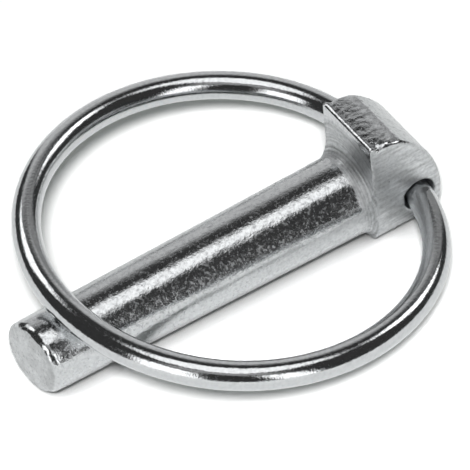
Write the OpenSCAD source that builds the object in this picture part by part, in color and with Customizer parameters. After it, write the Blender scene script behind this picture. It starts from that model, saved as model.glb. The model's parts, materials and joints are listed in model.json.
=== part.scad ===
// Lynch pin: a tapered steel pin with a cross hole through its flat-sided head, and a round
// wire ring whose two ends turn in that hole and whose far side lies across the shank.
// Millimetres, +Z up. Origin: on the shank's axis, in the plane of the shoulder.
// The tip points to -X and the head to +X. The cross hole runs along Y.

/* [Shank] */
// Diameter of the shank where it meets the shoulder
shank_d = 10; // [8:0.1:12]
// Diameter of the shank at its tip
tip_d = 9; // [6:0.1:11]
// Length of the shank, from the shoulder to the middle of its end face
shank_len = 43.2; // [32:0.1:60]
// Radius of the edge round the end face
tip_round = 0.85; // [0.3:0.05:2]
// Lean of the cropped end face about the upright axis, in degrees
end_turn = 8.2; // [-10:0.1:10]
// Lean of the cropped end face about the cross axis, in degrees
end_nod = 3.3; // [-10:0.1:10]
// Fillet between the shank and the shoulder
root_fillet = 2; // [0.5:0.1:2.5]

/* [Head] */
// Width of the head across its two flat sides
head_w = 9.8; // [8:0.1:12]
// Height of the head's flat top above the shank's axis
head_top = 10.15; // [9:0.05:11]
// Depth of the head from the shoulder to the furthest point of its round back
head_depth = 9.25; // [8.8:0.05:10.5]
// Radius of the head's round back
back_r = 12.15; // [11:0.05:14]
// Height of the round back's centre above the shank's axis
back_rise = -0.5; // [-2:0.1:0.5]
// How far the head's underside stands below the shank
head_drop = 0.1; // [0:0.05:0.5]
// Rounding of the head's two long lower edges
under_round = 2.2; // [0.5:0.1:3]

/* [Cross hole] */
// Distance of the hole's axis behind the shoulder
hole_x = 5.97; // [5.2:0.01:6.3]
// Height of the hole's axis above the shank's axis
hole_z = -0.3; // [-1.2:0.05:1]
// Radial play of the wire in the hole
wire_play = 0.475; // [0.3:0.005:0.6]

/* [Ring] */
// Diameter of the ring's wire
wire_d = 3.35; // [2.5:0.05:3.6]
// Length of shank beyond the middle of the wire that crosses it
tip_past_ring = 4.76; // [3:0.01:8]
// How far the line of the ring's two ends lies inside its circle
end_flat = 1.8; // [1.4:0.05:2.2]
// Gap between the ring's two ends, inside the hole
end_gap = 1; // [0.4:0.1:2]
// Gap left between the closed ring and the shank
seat_gap = 0.08; // [0.05:0.01:0.3]
// How far the ring has slid along the hole
ring_slide = 1.36; // [-1.5:0.01:1.5]
// Share of the wire's play taken up by the ring's sideways lean
lean_share = 0.5; // [0:0.05:0.6]
// Share of the wire's play taken up by the pull towards the back of the head
pull_share = 0.42; // [0:0.02:0.5]
// Share of the wire's play taken up by the lift in the hole
lift_share = 0.2; // [0:0.05:0.3]

/* [Hidden] */
$fn = 96;
zinc = [0.75, 0.76, 0.77];
wire_zinc = [0.78, 0.79, 0.8];

// Shank: a straight taper, and the radius of the flat part of its end face
shank_r = shank_d / 2;
tip_r = tip_d / 2;
end_flat_r = tip_r - tip_round;
function shank_r_at(distance) = shank_r - (shank_r - tip_r) * distance / shank_len;

// Head: the underside, and the round back's centre
head_bottom = -shank_r - head_drop;
back_x = head_depth - back_r;
hole_d = wire_d + 2 * wire_play;

// Ring: its two ends lie on the hinge line, and its far side crosses over the shank at the seat.
// Its radius is kept to a whole micron.
hinge_x = hole_x + pull_share * wire_play;
hinge_z = hole_z + lift_share * wire_play;
seat_x = shank_len - tip_past_ring;
seat_run = seat_x + hinge_x;
seat_rise = shank_r_at(seat_x) + wire_d / 2 + seat_gap - hinge_z;
ring_tilt = atan2(seat_rise, seat_run);
ring_lean = atan2(lean_share * wire_play, head_w / 2);
ring_reach = norm([seat_run, seat_rise]);
ring_r = round(500 * (ring_reach + end_flat)) / 1000;
hinge_r = ring_r - end_flat;

// Ring ends: each bend leaves the circle at the 3-4-5 angle, so that its centre, radius and straight
// are plain fractions of the other sizes. Its centre lies on the line from the circle's centre.
bend_angle = atan2(4, 3);
bend_offset = end_flat / (1 - 3 / 5);
bend_r = ring_r - bend_offset;
bend_start_x = ring_r * 3 / 5;
end_straight = bend_offset * 4 / 5;

// Turns what is drawn upwards, along +Z, to point at the tip, along -X
module towards_tip() {
    rotate([0, -90, 0]) children();
}

// Side view of the head: flat top, round back and flat underside
module head_side() {
    intersection() {
        translate([0, head_bottom]) square([head_depth, head_top - head_bottom]);
        translate([back_x, back_rise]) circle(back_r, $fn = 4 * $fn);
    }
}

// End view of the head: upright sides and two rounded lower edges
module head_end() {
    inner = head_w / 2 - under_round;
    for (side = [-1, 1]) translate([side * inner, head_bottom + under_round]) circle(under_round);
    translate([-inner, head_bottom]) square([2 * inner, 2 * under_round]);
    translate([-head_w / 2, head_bottom + under_round])
        square([head_w, head_top - head_bottom - under_round]);
}

// A bar along X, from one distance to another, with the head's end view
module head_bar(from, to) {
    translate([from, 0, 0]) rotate([90, 0, 90]) linear_extrude(to - from) head_end();
}

// The head block
module head() {
    intersection() {
        head_bar(0, head_depth);
        rotate([90, 0, 0]) linear_extrude(2 * head_w, center = true) head_side();
    }
}

// The tapered round bar, a little longer than the finished shank
module taper_bar() {
    spare = tip_r;
    rotate_extrude() polygon([
        [0, 0], [shank_r, 0], [shank_r_at(shank_len + spare), shank_len + spare], [0, shank_len + spare]
    ]);
}

// All that lies behind the end face and inside its rounded edge, widening towards the head
module end_envelope() {
    wide_r = tip_r + shank_len / 2;
    rotate_extrude() {
        polygon([
            [0, -shank_r], [wide_r, -shank_r], [wide_r, 0],
            [tip_r, shank_len - tip_round], [end_flat_r, shank_len], [0, shank_len]
        ]);
        translate([end_flat_r, shank_len - tip_round]) circle(tip_round);
    }
}

// The shank, cropped by an end face that leans a few degrees
module shank() {
    intersection() {
        towards_tip() taper_bar();
        translate([-shank_len, 0, 0]) rotate([0, end_nod, end_turn])
            translate([shank_len, 0, 0]) towards_tip() end_envelope();
    }
}

// The fillet at the shank's root, trimmed to the sides of the head
module root() {
    start_r = shank_r_at(root_fillet);
    intersection() {
        head_bar(-root_fillet, 0);
        towards_tip() rotate_extrude() difference() {
            square([start_r + root_fillet, root_fillet]);
            translate([start_r + root_fillet, root_fillet]) circle(root_fillet);
        }
    }
}

// The hole for the ring's ends, through both sides of the head
module cross_hole() {
    translate([hole_x, 0, hole_z]) rotate([90, 0, 0])
        cylinder(d = hole_d, h = 2 * head_w, center = true);
}

// The forged pin, in one piece
module pin() {
    color(zinc) difference() {
        union() {
            shank();
            root();
            head();
        }
        cross_hole();
    }
}

// An arc of wire, lying flat, that starts at +X
module wire_arc(radius, sweep) {
    rotate_extrude(angle = sweep) translate([radius, 0]) circle(d = wire_d);
}

// A block that takes in the wire, over a stretch of X and of Y
module wire_block(from, to) {
    translate([from.x, from.y, -wire_d]) cube([to.x - from.x, to.y - from.y, 2 * wire_d]);
}

// The ring's circle, cropped a little past the start of the bends
module cropped_circle() {
    difference() {
        wire_arc(ring_r, 360);
        wire_block([bend_start_x + wire_d, -ring_r], [2 * ring_r, ring_r]);
    }
}

// A bend, carried on round to half a circle, and the straight end that lies in the hole
module bent_end() {
    wire_arc(bend_r, 180);
    translate([bend_r, 0, 0]) rotate([90, 0, 0]) cylinder(d = wire_d, h = end_straight - end_gap / 2);
}

// Fits a bent end to the wire that it is given, both cut square on the line where the bend starts
module with_bent_end() {
    rotate([0, 0, bend_angle]) {
        difference() {
            rotate([0, 0, -bend_angle]) children();
            wire_block([ring_r - wire_d, -4 * wire_d], [ring_r + wire_d, 0]);
        }
        difference() {
            translate([bend_offset, 0, 0]) rotate([0, 0, -bend_angle]) bent_end();
            wire_block([-ring_r, 0], [2 * ring_r, 2 * ring_r]);
        }
    }
}

// The wire ring, closed on the shank
module ring() {
    color(wire_zinc) translate([hinge_x, 0, hinge_z]) rotate([ring_lean, 0, 0]) rotate([0, ring_tilt, 0])
        translate([-hinge_r, ring_slide, 0])
            with_bent_end() mirror([0, 1, 0]) with_bent_end() cropped_circle();
}

pin();
ring();
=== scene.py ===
# %% [markdown]
# # A lynch pin and its spring ring
# A lynch pin locks a larger pin or an axle. It is a forged steel pin whose flat-sided head has a
# hole across it, and a round spring-wire ring turns in that hole and snaps down over the shank.
# Both are plated with bright zinc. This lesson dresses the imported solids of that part: it loads
# them as a fixed frame, makes a finished mesh for each of the two pieces, and gives each its metal.

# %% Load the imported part
import json
import math
import bpy
import bmesh
import numpy as np
from mathutils import Matrix, Vector, noise

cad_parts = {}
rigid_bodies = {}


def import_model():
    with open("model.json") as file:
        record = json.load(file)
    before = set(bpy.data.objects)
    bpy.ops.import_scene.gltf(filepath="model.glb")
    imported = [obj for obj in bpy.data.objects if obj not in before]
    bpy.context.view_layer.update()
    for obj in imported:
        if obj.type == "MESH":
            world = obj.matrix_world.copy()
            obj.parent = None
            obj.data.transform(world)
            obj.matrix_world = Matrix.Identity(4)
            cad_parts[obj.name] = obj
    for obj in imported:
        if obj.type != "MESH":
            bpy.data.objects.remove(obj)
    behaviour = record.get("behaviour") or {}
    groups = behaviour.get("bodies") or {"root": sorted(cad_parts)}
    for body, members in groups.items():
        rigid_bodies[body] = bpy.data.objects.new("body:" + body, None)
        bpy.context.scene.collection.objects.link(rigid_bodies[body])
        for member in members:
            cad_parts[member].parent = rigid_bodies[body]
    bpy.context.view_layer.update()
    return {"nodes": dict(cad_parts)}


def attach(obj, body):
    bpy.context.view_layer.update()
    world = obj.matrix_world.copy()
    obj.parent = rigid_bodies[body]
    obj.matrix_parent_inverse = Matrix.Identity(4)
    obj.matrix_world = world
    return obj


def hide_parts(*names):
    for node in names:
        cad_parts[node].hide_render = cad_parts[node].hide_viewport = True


for stray in list(bpy.data.objects):
    bpy.data.objects.remove(stray)
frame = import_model()
MM = 0.001
print("packed nodes:", sorted(frame["nodes"]))

# %% [markdown]
# ## The sizes that everything follows
# The finish has to know where each face and edge lies: scale marks belong on the flat top, and
# turned rings belong round the shank's root. The mesh could be searched for them, but the solids
# were drawn from a few driving sizes, and the same sizes say it exactly. They are in millimetres.
# The shank points to -X, the head's flat top faces +Z, and the hole runs along Y.

# %% Sizes of the pin and of the wire in its hole
SHANK_R, TIP_R, SHANK_LEN, TIP_ROUND = 5.0, 4.5, 43.2, 0.85
END_TURN, END_NOD = math.radians(8.2), math.radians(3.3)
HALF_W, HEAD_TOP, HEAD_BOTTOM, UNDER_ROUND = 4.9, 10.15, -5.1, 2.2
BACK_R, BACK_X, BACK_Z = 12.15, -2.9, -0.5
WIRE_R, WIRE_PLAY = 1.675, 0.475
HOLE_X, HOLE_Z, HOLE_R = 5.97, -0.3, WIRE_R + WIRE_PLAY
# the way out of the cropped end face, and how far along it that face lies
END_WAY = (-math.cos(END_NOD) * math.cos(END_TURN), -math.cos(END_NOD) * math.sin(END_TURN),
           math.sin(END_NOD))
END_AT = -SHANK_LEN * END_WAY[0]
print("the end face lies", round(END_AT, 2), "mm out, and the hole is", round(2 * HOLE_R, 2), "mm wide")

# %% [markdown]
# ## Small helpers
# A node tree is easier to read when every node is added in the same way. One function adds a node,
# sets its fields, and fills or links its inputs, and another starts an empty material. A third
# turns the usual hex colour of a paint chart, which is sRGB, into the linear numbers that
# Blender's shaders count in. A fourth makes an object of a finished mesh.

# %% Helpers for nodes, colours and meshes
def add(tree, kind, inputs=None, **fields):
    """Adds a node. Its fields are set first, then each named input gets a value or a link."""
    node = tree.nodes.new(kind)
    for name, value in fields.items():
        setattr(node, name, value)
    for name, value in (inputs or {}).items():
        if isinstance(value, bpy.types.NodeSocket):
            tree.links.new(value, node.inputs[name])
        else:
            node.inputs[name].default_value = value
    return node


def empty_material(name):
    """A new material with no nodes yet, and its node tree."""
    material = bpy.data.materials.new(name)
    material.use_nodes = True
    material.node_tree.nodes.clear()
    return material, material.node_tree


def linear(hex_colour):
    """The linear colour, with alpha, of an sRGB hex colour."""
    parts = [int(hex_colour[i:i + 2], 16) / 255 for i in (1, 3, 5)]
    bent = [p / 12.92 if p <= 0.04045 else ((p + 0.055) / 1.055) ** 2.4 for p in parts]
    return (*bent, 1.0)


def new_piece(name, mesh, material):
    """An object at the origin for a finished mesh, with smooth faces and one material."""
    mesh.name = name
    mesh.materials.clear()
    mesh.materials.append(material)
    mesh.polygons.foreach_set("use_smooth", [True] * len(mesh.polygons))
    piece = bpy.data.objects.new(name, mesh)
    bpy.context.scene.collection.objects.link(piece)
    return piece


print("the grey #808080 counts as", round(linear("#808080")[0], 3), "of full white in linear numbers")

# %% [markdown]
# ## The camera
# The pin lies across the frame from its tip, low on the left, to its head, high on the right. The
# camera looks down at it from 47 degrees, through a long lens that keeps its edges near parallel.
# It could be aimed by a Track To constraint, but a plain place and turn say the view exactly.

# %% Camera
# its place in metres, and its turns about X, Y and Z in degrees
CAMERA_PLACE = (-0.1536726, -0.2663288, 0.3201493)
CAMERA_TURN = (43.14937, 4.87163, -32.55466)
camera_data = bpy.data.cameras.new("camera")
camera_data.sensor_width = 36
camera_data.lens = 295.18
camera_data.clip_start = 0.01
camera = bpy.data.objects.new("camera", camera_data)
camera.location = CAMERA_PLACE
camera.rotation_euler = [math.radians(angle) for angle in CAMERA_TURN]
bpy.context.scene.collection.objects.link(camera)
bpy.context.scene.camera = camera
print("camera is", round(camera.location.length, 3), "m from the pin's shoulder")

# %% [markdown]
# ## Bright zinc on a forging
# The pin is drop-forged steel with a turned root, barrel plated with bright zinc and passivated
# clear. Zinc is a metal, so its colour sits in its reflections: Metallic is 1 and IOR is left
# alone. The plate is thinner than the steel's grain, so every way of working the steel still
# shows. An image could hold that, but noise on Object coordinates needs no file, stays sharp and
# rides with the piece. First, soft masks find the faces that were made in different ways.

# %% Where the pin was cut, turned or forged
def forging_zones(tree, place):
    """Soft masks from 0 to 1, and the measure that runs out along the root, in metres."""
    apart = add(tree, "ShaderNodeSeparateXYZ", {"Vector": place})
    across = add(tree, "ShaderNodeMath", {0: apart.outputs["Y"]}, operation="ABSOLUTE")
    from_axis = add(tree, "ShaderNodeVectorMath", {0: place, 1: (0, 1, 1)}, operation="MULTIPLY")
    radius = add(tree, "ShaderNodeVectorMath", {0: from_axis.outputs["Vector"]}, operation="LENGTH")
    hole_way = add(tree, "ShaderNodeVectorMath", {0: place, 1: (HOLE_X * MM, 0, HOLE_Z * MM)},
                   operation="SUBTRACT")
    hole_flat = add(tree, "ShaderNodeVectorMath", {0: hole_way.outputs["Vector"], 1: (1, 0, 1)},
                    operation="MULTIPLY")
    from_hole = add(tree, "ShaderNodeVectorMath", {0: hole_flat.outputs["Vector"]}, operation="LENGTH")
    along_end = add(tree, "ShaderNodeVectorMath", {0: place, 1: END_WAY}, operation="DOT_PRODUCT")
    # what is measured, and where its soft step starts and ends, in millimetres
    steps = {
        "side": (across.outputs[0], HALF_W - 0.18, HALF_W - 0.04),
        "outside_bore": (from_hole.outputs["Value"], HOLE_R + 0.15, HOLE_R + 0.35),
        "high": (apart.outputs["Z"], HEAD_TOP - 0.4, HEAD_TOP - 0.2),
        "past_edge": (apart.outputs["X"], 0.3, 0.8),
        "past_corner": (apart.outputs["Y"], 0.3 - HALF_W, 0.9 - HALF_W),
        "end": (along_end.outputs["Value"], END_AT - 0.24, END_AT - 0.09),
        "root_start": (apart.outputs["X"], -1.9, -1.3),
        "root_end": (apart.outputs["X"], 0.2, 0.4),
        "beyond_root": (radius.outputs["Value"], 8.6, 10.4),
    }
    zones = {}
    for name, (measure, low, high) in steps.items():
        step = add(tree, "ShaderNodeMapRange", {"Value": measure, "From Min": low * MM,
                   "From Max": high * MM}, interpolation_type="SMOOTHSTEP", label=name)
        zones[name] = step.outputs["Result"]
    # the flat top keeps clear of its front edge and near corner, which tumbling has polished
    top_part = add(tree, "ShaderNodeMath", {0: zones["high"], 1: zones["past_edge"]},
                   operation="MULTIPLY")
    zones["top"] = add(tree, "ShaderNodeMath", {0: top_part.outputs[0], 1: zones["past_corner"]},
                       operation="MULTIPLY").outputs[0]
    zones["head_side"] = add(tree, "ShaderNodeMath", {0: zones["side"], 1: zones["past_edge"]},
                             operation="MULTIPLY").outputs[0]
    # the turned root: a band along X, as far out as the tool reached
    band = add(tree, "ShaderNodeMath", {0: zones["root_start"], 1: zones["root_end"]},
               operation="SUBTRACT")
    reached = add(tree, "ShaderNodeMath", {0: 1.0, 1: zones["beyond_root"]}, operation="SUBTRACT")
    zones["root"] = add(tree, "ShaderNodeMath", {0: band.outputs[0], 1: reached.outputs[0]},
                        operation="MULTIPLY").outputs[0]
    out_along_root = add(tree, "ShaderNodeMath", {0: radius.outputs["Value"], 1: apart.outputs["X"]},
                         operation="ADD")
    return zones, out_along_root.outputs[0]


print("the turned root runs from X -1.9 to 0.4 mm, and out to a radius of about 10 mm")

# %% [markdown]
# ## The grain of the steel, as patterns
# A few noises are shared by colour, roughness and relief, so that a matt speck is also a dull one.
# Each is counted in cells by the millimetre. The render shows a millimetre as about nine pixels,
# so the plate's true crystals and grit, a few hundredths of a millimetre, would be lost. They are
# drawn as coarse as they need to be to show: 0.2 to 0.4 mm.

# %% Patterns of the forging
def forging_patterns(tree, place, out_along_root):
    """Noises, each about 0.5 on average, and the distance to the nearest pit, in cells."""
    # drawn out eight times along X, for the lines that rolling and tumbling leave
    stretched = add(tree, "ShaderNodeMapping", {"Vector": place, "Scale": (0.12, 1, 1)})
    # where it is read, cells by the millimetre, detail and roughness of the noise
    noises = {
        # patches 2.4 mm wide, left by the plating bath
        "clouds": (place, 0.42, 3, 0.5),
        # crystals 0.4 mm wide, coarser than real
        "specks": (place, 2.5, 4, 0.65),
        # forging dimples 0.7 mm wide
        "dents": (place, 1.5, 3, 0.6),
        # grit 0.2 mm wide, coarser than real
        "grit": (place, 4.6, 2, 0.6),
        # scores 0.45 mm apart, coarser than real
        "lines": (stretched.outputs["Vector"], 2.2, 4, 0.6),
    }
    patterns = {}
    for name, (where, per_mm, detail, rough) in noises.items():
        patterns[name] = add(tree, "ShaderNodeTexNoise", {"Vector": where, "Scale": per_mm / MM,
                             "Detail": detail, "Roughness": rough}, label=name).outputs["Fac"]
    # turned rings 0.4 mm apart: one number, the way out along the root, makes circles
    rings = add(tree, "ShaderNodeTexNoise", {"W": out_along_root, "Scale": 2.6 / MM, "Detail": 2},
                noise_dimensions="1D", label="turned")
    patterns["turned"] = rings.outputs["Fac"]
    # pits lie 3 mm apart
    pores = add(tree, "ShaderNodeTexVoronoi", {"Vector": place, "Scale": 0.33 / MM})
    patterns["pits"] = pores.outputs["Distance"]
    return patterns


print("a speck is", 1 / 2.5, "mm wide, and a patch of bright plate", round(1 / 0.42, 1), "mm")

# %% [markdown]
# ## How sharp the forging's mirror is
# Bright zinc on turned steel mirrors almost sharply, and matt crystals break that mirror into
# ragged edges and small sparks. The head's flat sides were sheared and the root was turned, so
# they only glow. Each face could have a material of its own, but a hard line would then run
# between them, so one roughness is added up from the zones' soft masks.

# %% Roughness of the forging
def forging_roughness(tree, zones, patterns):
    """From 0.1, almost a mirror, to 0.6, matt."""
    smooth = add(tree, "ShaderNodeMapRange", {"Value": patterns["clouds"], "From Min": 0.3,
                 "From Max": 0.7, "To Min": 0.1, "To Max": 0.16})
    matt = add(tree, "ShaderNodeMapRange", {"Value": patterns["specks"], "From Min": 0.49,
               "From Max": 0.71, "To Min": 0.0, "To Max": 0.3})
    plate = add(tree, "ShaderNodeMath", {0: smooth.outputs["Result"], 1: matt.outputs["Result"]},
                operation="ADD")
    with_side = add(tree, "ShaderNodeMath", {0: zones["side"], 1: 0.22, 2: plate.outputs[0]},
                    operation="MULTIPLY_ADD")
    with_root = add(tree, "ShaderNodeMath", {0: zones["root"], 1: 0.3, 2: with_side.outputs[0]},
                    operation="MULTIPLY_ADD")
    # plate hardly reaches into the bore, which stays matt
    with_bore = add(tree, "ShaderNodeMix", {"Factor": zones["outside_bore"], "A": 0.6,
                                            "B": with_root.outputs[0]})
    return with_bore.outputs["Result"]


print("roughness: 0.1 to 0.46 on the plate, more on the cut sides and the root, 0.6 in the bore")

# %% [markdown]
# ## The forging's colour
# Fresh zinc is a light, faintly blue grey. Crystals differ a little in tone, a pit holds a dark
# dot, and each worked face is toned by its own marks: clouds on the cropped end, scores along the
# head's sides, and rings round the root. Painted shade darkens the flat top. One ramp gives the
# metal's two greys, and the marks and the painted shade scale it up or down, so that no mark can
# turn the metal another colour.

# %% Colour of the forging
def forging_tone(tree, zones, patterns):
    """The metal's two greys, scaled by what each face was made with, and by painted shade on the flat
    top.
    """
    metal = add(tree, "ShaderNodeValToRGB", {"Fac": patterns["specks"]})
    bright, dull = metal.color_ramp.elements
    bright.position = 0.34
    bright.color = linear("#D6D8D9")
    dull.position = 0.66
    dull.color = linear("#C2C4C6")
    # the sheared end face is cloudy, and duller than the plate
    cloudy = add(tree, "ShaderNodeMapRange", {"Value": patterns["clouds"], "From Min": 0.35,
                 "From Max": 0.65, "To Min": 0.68, "To Max": 0.92})
    share = add(tree, "ShaderNodeMix", {"Factor": zones["end"], "A": 1.0, "B": cloudy.outputs["Result"]})
    # painted shade darkens the flat top
    share = add(tree, "ShaderNodeMath", {0: zones["top"], 1: -0.18, 2: share.outputs["Result"]},
                operation="MULTIPLY_ADD")
    # within 0.03 of a cell from its middle, a pit is dark: it is under 0.2 mm wide
    pitted = add(tree, "ShaderNodeMapRange", {"Value": patterns["pits"], "From Min": 0.02,
                 "From Max": 0.035, "To Min": 0.12, "To Max": 1.0})
    share = add(tree, "ShaderNodeMath", {0: share.outputs[0], 1: pitted.outputs["Result"]},
                operation="MULTIPLY")
    # zone, its pattern, the stretch of the pattern that shows, and how much it darkens and lightens
    marks = (("head_side", "lines", 0.36, 0.62, -0.22, 0.14), ("root", "turned", 0.38, 0.6, -0.16, 0.1))
    for zone, pattern, low, high, darker, lighter in marks:
        mark = add(tree, "ShaderNodeMapRange", {"Value": patterns[pattern], "From Min": low,
                   "From Max": high, "To Min": darker, "To Max": lighter})
        share = add(tree, "ShaderNodeMath", {0: mark.outputs["Result"], 1: zones[zone],
                    2: share.outputs[0]}, operation="MULTIPLY_ADD")
    return add(tree, "ShaderNodeVectorMath", {0: metal.outputs["Color"], "Scale": share.outputs[0]},
               operation="SCALE").outputs["Vector"]


print("zinc runs from", [round(c, 2) for c in linear("#D6D8D9")[:3]], "to",
      [round(c, 2) for c in linear("#C2C4C6")[:3]])

# %% [markdown]
# ## The forging's fine relief
# Marks deeper than a few hundredths of a millimetre are real relief in the mesh, further on. What
# is finer only tilts the mirror, so a chain of Bump nodes does it, each on the normal of the one
# before. Each pattern is deeper in the zone that it belongs to.

# %% Bump of the forging
def forging_bump(tree, zones, patterns):
    """The normal that the forging's finest marks tilt."""
    # the zone where a pattern is deeper, how much deeper, and its depth elsewhere, in millimetres
    depths = {
        "dents": (zones["top"], 0.1, 0.031),
        "grit": (zones["top"], 0.0, 0.012),
        "lines": (zones["side"], 0.06, 0.01),
        "turned": (zones["root"], 0.08, 0.0),
    }
    normal = None
    for name, (zone, deeper, depth) in depths.items():
        distance = add(tree, "ShaderNodeMath", {0: zone, 1: deeper * MM, 2: depth * MM},
                       operation="MULTIPLY_ADD")
        bump = add(tree, "ShaderNodeBump", {"Height": patterns[name], "Strength": 1.0,
                                            "Distance": distance.outputs[0]}, label=name)
        if normal is not None:
            tree.links.new(normal, bump.inputs["Normal"])
        normal = bump.outputs["Normal"]
    return normal


print("a chain of four bumps, up to", round(0.1 + 0.031, 2), "mm deep on the flat top")

# %% Material of the forging
def zinc_plated_forging():
    """Bright zinc plate over a forged and cropped bar: a near mirror, ragged with grain."""
    material, tree = empty_material("zinc_plated_forging")
    place = add(tree, "ShaderNodeTexCoord").outputs["Object"]
    zones, out_along_root = forging_zones(tree, place)
    patterns = forging_patterns(tree, place, out_along_root)
    shader = add(tree, "ShaderNodeBsdfPrincipled", {
        "Base Color": forging_tone(tree, zones, patterns), "Metallic": 1.0,
        "Roughness": forging_roughness(tree, zones, patterns),
        "Normal": forging_bump(tree, zones, patterns)})
    add(tree, "ShaderNodeOutputMaterial", {"Surface": shader.outputs["BSDF"]})
    return material


forging_zinc = zinc_plated_forging()
print(forging_zinc.name, "has", len(forging_zinc.node_tree.nodes), "nodes")

# %% [markdown]
# ## Bright zinc on spring wire
# The wire is drawn through a die before it is bent and plated, so it is far smoother than the
# forging. Only faint draw lines run along it, and its reflections stay long and crisp. The lines
# have to follow the bends, which Object coordinates can't do. So the ring's mesh carries an
# attribute, wire_place: how far along the wire a point lies, and where on its round section.

# %% Material of the ring
def zinc_plated_wire():
    """Bright zinc plate over smooth drawn wire: a mirror with small dull spots."""
    material, tree = empty_material("zinc_plated_spring_wire")
    place = add(tree, "ShaderNodeAttribute", attribute_name="wire_place").outputs["Vector"]
    # draw lines 0.45 mm apart, much coarser than the real ones, drawn out twelve times along the wire
    stretched = add(tree, "ShaderNodeMapping", {"Vector": place, "Scale": (0.08, 1, 1)})
    lines = add(tree, "ShaderNodeTexNoise", {"Vector": stretched.outputs["Vector"], "Scale": 2.2 / MM,
                                             "Detail": 2})
    # dull spots 0.4 mm wide, and grit 0.3 mm wide, both coarser than real so that they show
    spots = add(tree, "ShaderNodeTexNoise", {"Vector": place, "Scale": 2.3 / MM, "Detail": 3})
    grit = add(tree, "ShaderNodeTexNoise", {"Vector": place, "Scale": 3.5 / MM, "Detail": 3,
                                            "Roughness": 0.6})
    rough = add(tree, "ShaderNodeMapRange", {"Value": spots.outputs["Fac"], "From Min": 0.5,
                "From Max": 0.72, "To Min": 0.07, "To Max": 0.22})
    metal = add(tree, "ShaderNodeValToRGB", {"Fac": spots.outputs["Fac"]})
    bright, dull = metal.color_ramp.elements
    bright.color = linear("#DCDEDF")
    dull.color = linear("#BEC0C2")
    grain = add(tree, "ShaderNodeBump", {"Height": grit.outputs["Fac"], "Strength": 1.0,
                                         "Distance": 0.016 * MM})
    drawn = add(tree, "ShaderNodeBump", {"Height": lines.outputs["Fac"], "Strength": 1.0,
                                         "Distance": 0.014 * MM, "Normal": grain.outputs["Normal"]})
    shader = add(tree, "ShaderNodeBsdfPrincipled", {
        "Base Color": metal.outputs["Color"], "Metallic": 1.0, "Roughness": rough.outputs["Result"],
        "Normal": drawn.outputs["Normal"]})
    add(tree, "ShaderNodeOutputMaterial", {"Surface": shader.outputs["BSDF"]})
    return material


wire_zinc = zinc_plated_wire()
print(wire_zinc.name, "has", len(wire_zinc.node_tree.nodes), "nodes")

# %% [markdown]
# ## The pin's shape
# The real pin has no sharp edge anywhere: tumbling and plating round each one a little. Bevels on
# the solid's own mesh would break where its long thin triangles meet. A shape like this is easier
# to state as a distance. Each face of the pin is a simple distance, in millimetres, that is
# negative inside, and a rounded corner joins two of them with a radius. The surface is where the
# joined distance is zero.

# %% Distances and rounded joins
def rise(value, low, high):
    """0 below low and 1 above high, with a soft step between them."""
    t = np.clip((value - low) / (high - low), 0, 1)
    return t * t * (3 - 2 * t)


def corner(a, b, radius):
    """Where two distances meet on the outside of a solid, rounded to a radius."""
    return (np.minimum(np.maximum(a, b), -radius)
            + np.hypot(np.maximum(a + radius, 0), np.maximum(b + radius, 0)))


def fillet(a, b, radius):
    """Where two distances meet in an inside corner, filled to a radius."""
    return (np.maximum(np.minimum(a, b), radius)
            - np.hypot(np.maximum(radius - a, 0), np.maximum(radius - b, 0)))


print("a sharp edge that is rounded to 1 mm loses", round(float(corner(0.0, 0.0, 1.0)), 2), "mm")

# %% [markdown]
# ## Shank, head, root and hole
# Each part of the forging gets its own short distance, and its radii are those of its real edges:
# small along the shoulder, large where the head's sides were rubbed near the shank. The root grows
# from the bottom to the top, as the die left it. The hole's near mouth has been worked inwards a
# little by the wire, on the side towards the tip.

# %% Distance to each part of the pin
# radii of edges, in millimetres: top to round back, round the underside, round the worn corner,
# round the hole, and where the shank stops inside the head
BACK_EDGE, UNDERSIDE_EDGE, WORN_EDGE, BORE_EDGE, STOP_EDGE = 0.9, 0.38, 0.25, 0.06, 0.3
SHANK_STOP = 4
# how far the wire has worked metal into the hole's mouth
BURR = 0.3


def shank_distance(p, taper):
    """The tapered bar, cropped by a leaning end face, and ended inside the head."""
    x, y, z = p.T
    end_face = (x + SHANK_LEN) * END_WAY[0] + y * END_WAY[1] + z * END_WAY[2]
    return corner(corner(taper, end_face, TIP_ROUND), x - SHANK_STOP, STOP_EDGE)


def head_distance(p, outline):
    """The head: its end view, its flat top and round back, and its worn edges."""
    x, z = p[:, 0], p[:, 2]
    back = np.hypot(x - BACK_X, z - BACK_Z) - BACK_R
    top_to_back = corner(z - HEAD_TOP, back, BACK_EDGE)
    side_edge = 0.55 + 0.75 * rise(-x, -1.6, -0.2)
    head = corner(corner(outline, top_to_back, side_edge), HEAD_BOTTOM - z, UNDERSIDE_EDGE)
    shoulder_edge = 0.36 + 0.7 * rise(z, 8.4, 9.9)
    head = corner(head, -x, shoulder_edge)
    # the near top corner is worn to a small facet, which flashes
    facet_way, facet_depth = (-0.138, -0.394, 0.909), 0.6
    worn = (p - (0, -HALF_W, HEAD_TOP)) @ facet_way + facet_depth
    return corner(head, worn, WORN_EDGE)


def root_distance(p, taper, outline):
    """The fillet where the shank grows out of the head."""
    x, z = p[:, 0], p[:, 2]
    root_r = 1.1 + 0.65 * rise(z, -3.0, 1.5)
    filled = np.maximum(fillet(taper, -x, root_r), outline)
    # only the stretch from the shank's end of the fillet to just inside the head
    return np.maximum(filled, np.maximum(x - 0.6, -x - root_r - 0.1))


def hole_distance(p):
    """The round hole, narrowed a little at its near mouth."""
    x, y, z = p.T
    hole_x, hole_z = x - HOLE_X, z - HOLE_Z
    towards_tip = rise(0.6 * hole_z - 0.8 * hole_x, 0.2, 1.7)
    burr = BURR * towards_tip * rise(-y, 3.6, 4.4)
    return np.hypot(hole_x, hole_z) - HOLE_R + burr


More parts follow.
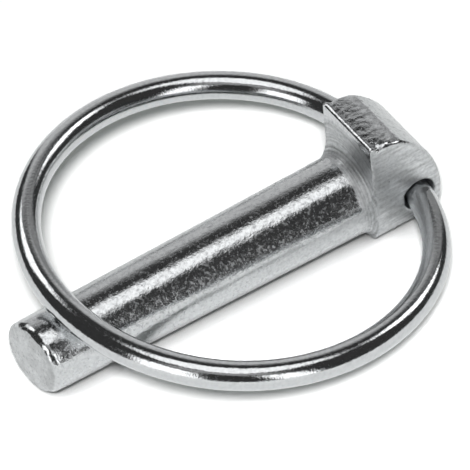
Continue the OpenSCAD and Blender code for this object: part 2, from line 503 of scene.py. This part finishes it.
def pin_distance(p):
    """Distance of points to the pin's surface, in millimetres, negative inside."""
    x, y, z = p.T
    taper = np.hypot(y, z) - (SHANK_R + x * (SHANK_R - TIP_R) / SHANK_LEN)
    outline = corner(np.abs(y) - HALF_W, HEAD_BOTTOM - z, UNDER_ROUND)
    metal = np.minimum(shank_distance(p, taper), head_distance(p, outline))
    metal = np.minimum(metal, root_distance(p, taper, outline))
    return corner(metal, -hole_distance(p), BORE_EDGE)


print("the middle of the shank is", round(float(pin_distance(np.array([[-20.0, 0, 0]]))[0]), 2),
      "mm from its surface")

# %% [markdown]
# ## An even blank
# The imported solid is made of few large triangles, too long and thin to carry relief. Voxel Remesh
# lays one even skin of small squares over a copy of it. Its doubles are merged first, because a
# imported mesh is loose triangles. The blank is only a start: each of its points is then pulled
# along the surface's own way out until it lies on the stated distance.

# %% Blank for the pin
def even_mesh(node, voxel):
    """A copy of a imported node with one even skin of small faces, voxel metres wide."""
    mesh = frame["nodes"][node].data.copy()
    work = bmesh.new()
    work.from_mesh(mesh)
    bmesh.ops.remove_doubles(work, verts=work.verts, dist=1e-7)
    work.to_mesh(mesh)
    work.free()
    blank = bpy.data.objects.new("blank", mesh)
    bpy.context.scene.collection.objects.link(blank)
    remesh = blank.modifiers.new("remesh", "REMESH")
    remesh.mode = "VOXEL"
    remesh.voxel_size = voxel
    remesh.adaptivity = 0
    bpy.context.view_layer.update()
    result = bpy.data.meshes.new_from_object(blank.evaluated_get(bpy.context.evaluated_depsgraph_get()))
    bpy.data.objects.remove(blank)
    return result


pin_mesh = even_mesh("pin", 0.18 * MM)
print("pin blank:", len(pin_mesh.vertices), "points,", len(pin_mesh.polygons), "faces")

# %% Pull every point onto the stated surface
PULLS, LONGEST_PULL = 5, 0.15


def slope(distance, p, step=0.01):
    """Way out of the surface at points, from the distance a small step to each side."""
    ways = [distance(p + step * axis) - distance(p - step * axis) for axis in np.eye(3)]
    out = np.stack(ways, 1)
    return out / np.maximum(np.linalg.norm(out, axis=1, keepdims=True), 1e-9)


points = np.empty(len(pin_mesh.vertices) * 3, np.float32)
pin_mesh.vertices.foreach_get("co", points)
points = points.reshape(-1, 3).astype(float) / MM
for _ in range(PULLS):
    out = slope(pin_distance, points)
    points -= np.clip(pin_distance(points), -LONGEST_PULL, LONGEST_PULL)[:, None] * out
print("furthest point off the surface:", round(float(np.abs(pin_distance(points)).max()), 4), "mm")

# %% [markdown]
# ## Marks of the forge and the lathe
# A hammer and die leave scale pits on the flat top, the lathe leaves fine rings round the shank's
# root, and the cropped end is dented round its rim. None is much deeper than paper is thick. They
# are real relief here, not bump, because they show in the outline.

# %% Relief, in millimetres along the way out
def waves(p, cell, seed):
    """Smooth noise from about -1 to 1, for points in millimetres, with cells of the given sizes."""
    scaled = p / np.asarray(cell) + seed
    return np.array([noise.noise(Vector(q)) for q in scaled])


def scale_marks(p, out):
    """Pits and ridges across the flat top, longer along X than across."""
    on_top = rise(out[:, 2], 0.85, 0.97) * rise(p[:, 2], 9.4, 9.9) * rise(p[:, 0], 0.3, 0.9)
    marks = waves(p, (1.3, 0.55, 1.0), 21) + 0.6 * waves(p, (0.7, 0.35, 1.0), 31)
    return on_top * (0.05 * rise(marks, -0.3, 0.3) - 0.045)


def turned_rings(p, radius):
    """Two trains of fine rings, 0.62 and 0.41 mm apart, round the root."""
    x = p[:, 0]
    on_root = rise(x, -1.6, -0.9) * rise(-x, -0.3, -0.1) * (1 - rise(radius, 7.4, 8.8))
    way_round = radius + x
    rings = np.sin(way_round * 2 * math.pi / 0.62) + 0.7 * np.sin(way_round * 2 * math.pi / 0.41 + 1.3)
    return 0.016 * on_root * rings * (1 + 0.5 * waves(p, (2, 2, 2), 41))


def cropped_end(p, out, radius):
    """Dents round the rim of the end, and a gentle unevenness across its face."""
    x = p[:, 0]
    on_rim = rise(-x - SHANK_LEN, -2.6, -0.4) * rise(radius, 2.6, 3.9)
    dents = waves(p, (0.9, 0.9, 0.9), 51) + 0.5 * waves(p, (0.45, 0.45, 0.45), 61)
    on_face = rise(-out[:, 0], 0.8, 0.95) * rise(-x, 30, 31)
    return on_rim * (0.06 * dents - 0.03) + on_face * 0.03 * waves(p, (0.9, 0.9, 0.9), 71)


def relief(p, out):
    """Height of all the marks together, above the stated surface."""
    y, z = p[:, 1], p[:, 2]
    radius = np.hypot(y, z)
    height = 0.012 * waves(p, (2.2, 1.1, 1.1), 3) + 0.005 * waves(p, (0.9, 0.6, 0.6), 11)
    height += scale_marks(p, out) + turned_rings(p, radius) + cropped_end(p, out, radius)
    # the near long edge of the top is nicked
    on_edge = rise(-y, 4.0, 4.7) * rise(z, 9.2, 9.9)
    return height - on_edge * 0.10 * rise(waves(p, (0.8, 1.0, 1.0), 81), -0.2, 0.6)


heights = relief(points, slope(pin_distance, points))
points += heights[:, None] * slope(pin_distance, points)
print("relief from", round(float(heights.min()), 3), "to", round(float(heights.max()), 3), "mm")
pin_mesh.vertices.foreach_set("co", (points * MM).astype(np.float32).ravel())
pin_mesh.update()
pin = new_piece("pin_forging", pin_mesh, forging_zinc)

# %% [markdown]
# ## The ring's shape
# The ring follows a rule: one length of wire on a big arc, a tighter bend towards each end, and two
# short straight ends that face each other in the hole. It could be a curve with a bevel, drawn by
# hand, but Geometry Nodes build it from its sizes, and a change of one size moves the rest. Arcs
# and a line make the path, and the path is welded and cut into even steps.

# %% Path of the wire
def wire_path(tree, size):
    """One open path of even steps, lying flat, with its two ends on the hinge line."""
    big = add(tree, "GeometryNodeCurveArc", {"Resolution": 400, "Radius": size["Ring Radius"],
              "Start Angle": size["Circle Start"], "Sweep Angle": size["Circle Sweep"]}, mode="RADIUS")
    bend = add(tree, "GeometryNodeCurveArc", {"Resolution": 120, "Radius": size["Bend Radius"],
               "Start Angle": 0.0, "Sweep Angle": size["Circle Start"]}, mode="RADIUS")
    bend_place = add(tree, "ShaderNodeCombineXYZ", {"X": size["Bend X"], "Y": size["Bend Y"]})
    bend_at = add(tree, "GeometryNodeTransform", {"Geometry": bend.outputs["Curve"],
                  "Translation": bend_place.outputs["Vector"]})
    end_x = add(tree, "ShaderNodeMath", {0: size["Bend X"], 1: size["Bend Radius"]}, operation="ADD")
    end_from = add(tree, "ShaderNodeCombineXYZ", {"X": end_x.outputs[0], "Y": size["Half Gap"]})
    end_to = add(tree, "ShaderNodeCombineXYZ", {"X": end_x.outputs[0], "Y": size["Bend Y"]})
    end = add(tree, "GeometryNodeCurvePrimitiveLine", {"Start": end_from.outputs["Vector"],
              "End": end_to.outputs["Vector"]})
    half = add(tree, "GeometryNodeJoinGeometry")
    for part in (bend_at.outputs["Geometry"], end.outputs["Curve"]):
        tree.links.new(part, half.inputs["Geometry"])
    other = add(tree, "GeometryNodeTransform", {"Geometry": half.outputs["Geometry"],
                "Scale": (1, -1, 1)})
    whole = add(tree, "GeometryNodeJoinGeometry")
    for part in (half.outputs["Geometry"], big.outputs["Curve"], other.outputs["Geometry"]):
        tree.links.new(part, whole.inputs["Geometry"])
    # curves can't be welded, so the path becomes edges, is welded, and becomes a curve again
    edges = add(tree, "GeometryNodeCurveToMesh", {"Curve": whole.outputs["Geometry"]})
    welded = add(tree, "GeometryNodeMergeByDistance", {"Geometry": edges.outputs["Mesh"],
                 "Distance": 0.01 * MM})
    path = add(tree, "GeometryNodeMeshToCurve", {"Mesh": welded.outputs["Geometry"]})
    return add(tree, "GeometryNodeResampleCurve", {"Curve": path.outputs["Curve"],
               "Count": size["Steps Along"]}).outputs["Curve"]


print("the path is cut from arcs of 400 and 120 points")

# %% [markdown]
# ## From path to wire
# Wire bent round a former is never perfectly even, so each point of the path wanders by one or two
# hundredths of a millimetre. Then a circle is swept along it. Two values are captured on the way,
# the length along the path and the place on the circle, and stored as the attribute that the
# wire's material reads.

# %% Sweep of the wire
def swept_wire(tree, size, path):
    """The wire's skin round the path, with the attribute that its material reads."""
    along = add(tree, "GeometryNodeSplineParameter")
    wander = add(tree, "ShaderNodeTexNoise", {"W": size["Seed"], "Scale": 60.0, "Detail": 1.0},
                 noise_dimensions="4D")
    centred = add(tree, "ShaderNodeVectorMath", {0: wander.outputs["Color"], 1: (0.5, 0.5, 0.5)},
                  operation="SUBTRACT")
    offset = add(tree, "ShaderNodeVectorMath", {0: centred.outputs["Vector"],
                 "Scale": size["Unevenness"]}, operation="SCALE")
    bent = add(tree, "GeometryNodeSetPosition", {"Geometry": path, "Offset": offset.outputs["Vector"]})
    keep = add(tree, "GeometryNodeCaptureAttribute", {"Geometry": bent.outputs["Geometry"]})
    keep.capture_items.new("FLOAT", "Length")
    tree.links.new(along.outputs["Length"], keep.inputs["Length"])
    profile = add(tree, "GeometryNodeCurvePrimitiveCircle", {"Resolution": size["Steps Round"],
                  "Radius": size["Wire Radius"]})
    position = add(tree, "GeometryNodeInputPosition")
    keep_round = add(tree, "GeometryNodeCaptureAttribute", {"Geometry": profile.outputs["Curve"]})
    keep_round.capture_items.new("VECTOR", "Round")
    tree.links.new(position.outputs["Position"], keep_round.inputs["Round"])
    wire = add(tree, "GeometryNodeCurveToMesh", {"Curve": keep.outputs["Geometry"],
               "Profile Curve": keep_round.outputs["Geometry"], "Fill Caps": True})
    apart = add(tree, "ShaderNodeSeparateXYZ", {"Vector": keep_round.outputs["Round"]})
    spot = add(tree, "ShaderNodeCombineXYZ", {"X": keep.outputs["Length"], "Y": apart.outputs["X"],
               "Z": apart.outputs["Y"]})
    return add(tree, "GeometryNodeStoreNamedAttribute", {"Geometry": wire.outputs["Mesh"],
               "Name": "wire_place", "Value": spot.outputs["Vector"]}, data_type="FLOAT_VECTOR")


def ring_tree():
    """The node tree of the ring, with a named input for each of its sizes."""
    tree = bpy.data.node_groups.new("wire_ring", "GeometryNodeTree")
    for name, kind in (("Ring Radius", "Float"), ("Circle Start", "Float"), ("Circle Sweep", "Float"),
                       ("Bend Radius", "Float"), ("Bend X", "Float"), ("Bend Y", "Float"),
                       ("Half Gap", "Float"), ("Wire Radius", "Float"), ("Steps Along", "Int"),
                       ("Steps Round", "Int"), ("Unevenness", "Float"), ("Seed", "Float"),
                       ("Metal", "Material")):
        tree.interface.new_socket(name, in_out="INPUT", socket_type="NodeSocket" + kind)
    tree.interface.new_socket("Geometry", in_out="OUTPUT", socket_type="NodeSocketGeometry")
    size = add(tree, "NodeGroupInput").outputs
    wire = swept_wire(tree, size, wire_path(tree, size))
    real = add(tree, "GeometryNodeRealizeInstances", {"Geometry": wire.outputs["Geometry"]})
    metal = add(tree, "GeometryNodeSetMaterial", {"Geometry": real.outputs["Geometry"],
                "Material": size["Metal"]})
    add(tree, "NodeGroupOutput", {"Geometry": metal.outputs["Geometry"]})
    return tree


wire_tree = ring_tree()
print("the ring's tree has", len(wire_tree.nodes), "nodes")

# %% [markdown]
# ## Where the ring lies
# Its far side lies a hair above the shank near the tip, and its ends lie in the hole with a little
# play, which lets it lean, lift and slide. The ring's radius and its tilt follow from those two
# places, so they are worked out and not typed in. The bend leaves the circle at the angle of a
# 3-4-5 triangle, which keeps its centre at plain fractions of the other sizes.

# %% Sizes of the ring
END_FLAT, END_GAP, SEAT_GAP, TIP_PAST_RING, RING_SLIDE = 1.8, 1.0, 0.08, 4.76, 1.36
# shares of the play in the hole that the wire's pull, lift and lean take up
PULL_SHARE, LIFT_SHARE, LEAN_SHARE = 0.42, 0.2, 0.5
HINGE = (HOLE_X + PULL_SHARE * WIRE_PLAY, 0.0, HOLE_Z + LIFT_SHARE * WIRE_PLAY)
SEAT_X = SHANK_LEN - TIP_PAST_RING
SEAT_R = SHANK_R - (SHANK_R - TIP_R) * SEAT_X / SHANK_LEN
SEAT_RUN = SEAT_X + HINGE[0]
SEAT_RISE = SEAT_R + WIRE_R + SEAT_GAP - HINGE[2]
RING_TILT = math.atan2(SEAT_RISE, SEAT_RUN)
RING_LEAN = math.atan2(LEAN_SHARE * WIRE_PLAY, HALF_W)
RING_R = round(math.hypot(SEAT_RUN, SEAT_RISE) / 2 + END_FLAT / 2, 3)
BEND_ANGLE = math.atan2(4, 3)
BEND_OFFSET = END_FLAT / (1 - 3 / 5)
print("ring radius", RING_R, "mm, tilted", round(math.degrees(RING_TILT), 2), "degrees, leaning",
      round(math.degrees(RING_LEAN), 2))

# %% Bend the wire and close the ring on the shank
def build_ring(tree):
    """The finished mesh of the ring, where it lies on the pin."""
    holder = bpy.data.objects.new("ring_holder", bpy.data.meshes.new("ring_holder"))
    bpy.context.scene.collection.objects.link(holder)
    nodes = holder.modifiers.new("ring", "NODES")
    nodes.node_group = tree
    values = {"Ring Radius": RING_R * MM, "Circle Start": BEND_ANGLE,
              "Circle Sweep": 2 * math.pi - 2 * BEND_ANGLE, "Bend Radius": (RING_R - BEND_OFFSET) * MM,
              "Bend X": BEND_OFFSET * 3 / 5 * MM, "Bend Y": BEND_OFFSET * 4 / 5 * MM,
              "Half Gap": END_GAP / 2 * MM, "Wire Radius": WIRE_R * MM, "Steps Along": 640,
              "Steps Round": 56, "Unevenness": 0.06 * MM, "Seed": 7.0, "Metal": wire_zinc}
    sockets = {item.name: item.identifier for item in tree.interface.items_tree if item.in_out == "INPUT"}
    for name, value in values.items():
        nodes[sockets[name]] = value
    bpy.context.view_layer.update()
    mesh = bpy.data.meshes.new_from_object(holder.evaluated_get(bpy.context.evaluated_depsgraph_get()))
    bpy.data.objects.remove(holder)
    closed = (Matrix.Translation(Vector(HINGE) * MM) @ Matrix.Rotation(RING_LEAN, 4, "X")
              @ Matrix.Rotation(RING_TILT, 4, "Y")
              @ Matrix.Translation(Vector((END_FLAT - RING_R, RING_SLIDE, 0)) * MM))
    mesh.transform(closed)
    return mesh


ring = new_piece("ring_wire", build_ring(wire_tree), wire_zinc)
print("ring:", len(ring.data.vertices), "points,", len(ring.data.polygons), "faces")

# %% [markdown]
# ## The studio that the metal mirrors
# A plated part shows its surroundings more than itself, so its studio is designed as carefully as
# its shape. Soft boxes could be lamps, but a world is simpler: each box is a patch of sky with an
# azimuth, an elevation and a soft edge. A wide box overhead makes the long white streaks, the dark
# between the boxes makes the black bands, and low boxes make the bright dashes on the wire.

# %% Boxes of light in the studio
# the box overhead is made of overlapping discs: the X and Y of each way out, for one unit of
# height, and the disc's radius in degrees
OVERHEAD = [(0.045, -0.138, 19.6), (0.34, -0.106, 12.6)]
OVERHEAD_BRIGHTNESS = 1.42
# each other box: name, azimuth and elevation of its middle, half width and half height, soft edges
# of both (all in degrees), brightness
BOXES = [
    ("near left box", -149, 18, 15, 24, 4, 4, 1.8),
    ("near box", -89, 21, 9, 20, 4, 6, 1.8),
    ("near wall", -115, 54, 36, 8, 24, 8, 0.42),
    ("far left box", 103, 44, 18, 13, 3, 3, 1.8),
    ("right box", 0, 39, 11, 11, 3, 4, 2.6),
    ("far wall", 60, 6, 22, 34, 8, 26, 0.66),
    ("far wall end", 30, 8, 10, 34, 10, 10, 0.3),
]
# what is left of the light between the boxes
DARK_WALL = 0.045


def overhead_light(tree, way):
    """The brightest of the discs, with an edge two degrees wide."""
    total = DARK_WALL
    for x, y, radius in OVERHEAD:
        near = add(tree, "ShaderNodeVectorMath", {0: way, 1: Vector((x, y, 1)).normalized()},
                   operation="DOT_PRODUCT")
        disc = add(tree, "ShaderNodeMapRange", {"Value": near.outputs["Value"],
                   "From Min": math.cos(math.radians(radius + 1)),
                   "From Max": math.cos(math.radians(radius - 1)),
                   "To Min": DARK_WALL, "To Max": OVERHEAD_BRIGHTNESS}, interpolation_type="SMOOTHSTEP")
        brighter = add(tree, "ShaderNodeMath", {0: total, 1: disc.outputs["Result"]}, operation="MAXIMUM")
        total = brighter.outputs[0]
    return total


def box_light(tree, azimuth, elevation, box):
    """One soft-edged box: bright where a way lies inside both its width and its height."""
    name, middle_a, middle_e, half_w, half_h, soft_w, soft_h, brightness = box
    inside = []
    for angle, middle, half, soft in ((azimuth, middle_a, half_w, soft_w),
                                      (elevation, middle_e, half_h, soft_h)):
        away = add(tree, "ShaderNodeMath", {0: angle, 1: math.radians(middle)}, operation="SUBTRACT")
        # an azimuth past half a turn comes round again from the other side
        wrapped = add(tree, "ShaderNodeMath", {0: away.outputs[0], 1: math.pi, 2: -math.pi},
                      operation="WRAP")
        distance = add(tree, "ShaderNodeMath", {0: wrapped.outputs[0]}, operation="ABSOLUTE")
        edge = add(tree, "ShaderNodeMapRange", {"Value": distance.outputs[0],
                   "From Min": math.radians(half + soft / 2),
                   "From Max": math.radians(half - soft / 2)}, interpolation_type="SMOOTHSTEP")
        inside.append(edge.outputs["Result"])
    shape = add(tree, "ShaderNodeMath", {0: inside[0], 1: inside[1]}, operation="MULTIPLY", label=name)
    lit = add(tree, "ShaderNodeMath", {0: shape.outputs[0], 1: brightness}, operation="MULTIPLY")
    return lit.outputs[0]


print(len(OVERHEAD), "discs overhead, and", len(BOXES), "boxes round the part")

# %% [markdown]
# ## The studio as a world
# Light Path sorts the rays. Mirror rays see the studio, so that the metal shows it. Rays from a
# matt surface get an even, weak fill instead, or the boxes would light the paper unevenly. The
# camera gets plain white, as the backdrop. The view transform is Standard, so that white stays
# white and every grey comes out as it was written.

# %% World
FILL_BRIGHTNESS = 0.14


def studio_world():
    """A world that shows the boxes to the metal, and plain white to the camera."""
    world = bpy.data.worlds.new("studio")
    world.use_nodes = True
    tree = world.node_tree
    tree.nodes.clear()
    way = add(tree, "ShaderNodeTexCoord").outputs["Generated"]
    parts = add(tree, "ShaderNodeSeparateXYZ", {"Vector": way})
    azimuth = add(tree, "ShaderNodeMath", {0: parts.outputs["Y"], 1: parts.outputs["X"]},
                  operation="ARCTAN2")
    elevation = add(tree, "ShaderNodeMath", {0: parts.outputs["Z"]}, operation="ARCSINE")
    total = overhead_light(tree, way)
    for box in BOXES:
        lit = box_light(tree, azimuth.outputs[0], elevation.outputs[0], box)
        total = add(tree, "ShaderNodeMath", {0: total, 1: lit}, operation="MAXIMUM").outputs[0]
    studio = add(tree, "ShaderNodeBackground", {"Color": total, "Strength": 1.0})
    white = add(tree, "ShaderNodeBackground", {"Color": (1, 1, 1, 1), "Strength": 1.0})
    fill = add(tree, "ShaderNodeBackground", {"Color": linear("#F2FBF6"), "Strength": FILL_BRIGHTNESS})
    seen = add(tree, "ShaderNodeLightPath")
    plain = add(tree, "ShaderNodeMixShader", {"Fac": seen.outputs["Is Camera Ray"],
                1: fill.outputs["Background"], 2: white.outputs["Background"]})
    mirrored = add(tree, "ShaderNodeMath", {0: seen.outputs["Is Glossy Ray"],
                   1: seen.outputs["Is Transmission Ray"]}, operation="ADD")
    pick = add(tree, "ShaderNodeMixShader", {"Fac": mirrored.outputs[0], 1: plain.outputs["Shader"],
               2: studio.outputs["Background"]})
    add(tree, "ShaderNodeOutputWorld", {"Surface": pick.outputs["Shader"]})
    return world


bpy.context.scene.world = studio_world()
bpy.context.scene.view_settings.view_transform = "Standard"
print("the world has", len(bpy.context.scene.world.node_tree.nodes), "nodes")

# %% [markdown]
# ## One lamp for the shadows
# The floor needs soft shadows that stay close to the part. A disk lamp has a width, which gives them
# a soft edge, and it hangs only a little further away than the camera, which spreads them to each
# side. A sun lamp would be simpler, but its shadows would all fall the same way. The lamp hides
# from mirror rays, because the metal already mirrors the soft boxes.

# %% Key lamp, for the floor's shadows
# its width and its distance in metres, and how bright it makes white paper
KEY_WIDTH, KEY_DISTANCE, KEY_BRIGHTNESS = 0.12, 0.7, 0.93
KEY_AIM = Vector((-0.017, 0, 0))
KEY_WAY = Vector((-0.352, -0.656, 1)).normalized()
key_data = bpy.data.lights.new("key", "AREA")
key_data.shape = "DISK"
key_data.size = KEY_WIDTH
# this power lights white paper, square to the lamp at that distance, to the brightness given
key_data.energy = KEY_BRIGHTNESS * (math.pi * KEY_DISTANCE) ** 2
key = bpy.data.objects.new("key", key_data)
key.location = KEY_AIM + KEY_WAY * KEY_DISTANCE
key.rotation_euler = KEY_WAY.to_track_quat("Z", "Y").to_euler()
key.visible_glossy = False
key.visible_camera = False
bpy.context.scene.collection.objects.link(key)
print("the lamp gives", round(key_data.energy, 2), "W from", KEY_DISTANCE, "m away")

# %% [markdown]
# ## White paper under the part
# The pin lies on its shank's tip and the head's lower edge, so the paper leans by less than a degree
# to touch both. Matt paper is a Diffuse shader. Where the paper runs under the metal, Ambient
# Occlusion paints shade into the paper's colour in that narrow gap. Light Path lifts the paper to
# white for the camera, and a little for the metal. Far from the part the paper glows plain white, as
# a sweep does, because the near lamp would leave it grey there.

# %% Material of the paper
# how light the paper is, and how much more of it the metal and the camera see
PAPER, PAPER_TO_METAL, PAPER_TO_CAMERA = 0.8, 0.24, 0.56
# how far a gap looks for what covers it, and how dark the painted shade leaves the paper in the narrowest
# one
GAP_REACH, PAINTED_SHADE_DARKEST = 5 * MM, 0.12
# where the glow of the sweep begins and where it is full, in metres
SWEEP_START, SWEEP_END = 0.1, 0.25


def white_paper():
    """Matt white paper with painted shade in narrow gaps, which glows far from the part."""
    material, tree = empty_material("white_paper_sweep")
    path = add(tree, "ShaderNodeLightPath")
    mirrored = add(tree, "ShaderNodeMath", {0: path.outputs["Is Glossy Ray"],
                   1: path.outputs["Is Transmission Ray"]}, operation="ADD")
    by_metal = add(tree, "ShaderNodeMath", {0: mirrored.outputs[0], 1: PAPER_TO_METAL, 2: PAPER},
                   operation="MULTIPLY_ADD")
    shade = add(tree, "ShaderNodeMath", {0: path.outputs["Is Camera Ray"], 1: PAPER_TO_CAMERA,
                2: by_metal.outputs[0]}, operation="MULTIPLY_ADD")
    # painted shade: Ambient Occlusion darkens the paper's colour where the metal covers it
    openness = add(tree, "ShaderNodeAmbientOcclusion", {"Distance": GAP_REACH}, samples=16)
    painted_gap_shade = add(tree, "ShaderNodeMapRange", {"Value": openness.outputs["AO"], "From Min": 0.1,
              "From Max": 0.6, "To Min": PAINTED_SHADE_DARKEST, "To Max": 1.0})
    tone = add(tree, "ShaderNodeMath", {0: shade.outputs[0], 1: painted_gap_shade.outputs["Result"]},
               operation="MULTIPLY")
    matt = add(tree, "ShaderNodeBsdfDiffuse", {"Color": tone.outputs[0]})
    place = add(tree, "ShaderNodeTexCoord").outputs["Object"]
    away = add(tree, "ShaderNodeVectorMath", {0: place}, operation="LENGTH")
    far = add(tree, "ShaderNodeMapRange", {"Value": away.outputs["Value"], "From Min": SWEEP_START,
              "From Max": SWEEP_END}, interpolation_type="SMOOTHSTEP")
    seen = add(tree, "ShaderNodeMath", {0: mirrored.outputs[0], 1: path.outputs["Is Camera Ray"]},
               operation="ADD")
    glowing = add(tree, "ShaderNodeMath", {0: far.outputs["Result"], 1: seen.outputs[0]},
                  operation="MULTIPLY")
    glow = add(tree, "ShaderNodeEmission", {"Color": (1, 1, 1, 1), "Strength": 1.0})
    surface = add(tree, "ShaderNodeMixShader", {"Fac": glowing.outputs[0], 1: matt.outputs["BSDF"],
                  2: glow.outputs["Emission"]})
    add(tree, "ShaderNodeOutputMaterial", {"Surface": surface.outputs["Shader"]})
    return material


paper = white_paper()
print(paper.name, "glows plain white beyond", round(SWEEP_END / MM), "mm from the shoulder")

# %% Floor
# half the width of the paper, in metres
FLOOR_HALF = 3
# the tapered shank's tip stands 0.6 mm higher than the head's underside, 43 mm away
FLOOR_RISE = math.atan2(0.6, 43)
corners = [(-FLOOR_HALF, -FLOOR_HALF, 0), (FLOOR_HALF, -FLOOR_HALF, 0),
           (FLOOR_HALF, FLOOR_HALF, 0), (-FLOOR_HALF, FLOOR_HALF, 0)]
floor_mesh = bpy.data.meshes.new("floor")
floor_mesh.from_pydata(corners, [], [(0, 1, 2, 3)])
floor_mesh.transform(Matrix.Translation((0, 0, HEAD_BOTTOM * MM)) @ Matrix.Rotation(FLOOR_RISE, 4, "Y"))
floor_mesh.materials.append(paper)
floor = bpy.data.objects.new("floor", floor_mesh)
bpy.context.scene.collection.objects.link(floor)
print("the paper leans by", round(math.degrees(FLOOR_RISE), 2), "degrees")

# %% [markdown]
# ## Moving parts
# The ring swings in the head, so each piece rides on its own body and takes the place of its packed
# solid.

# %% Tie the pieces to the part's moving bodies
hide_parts("pin")
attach(pin, "pin")
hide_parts("ring")
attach(ring, "ring")
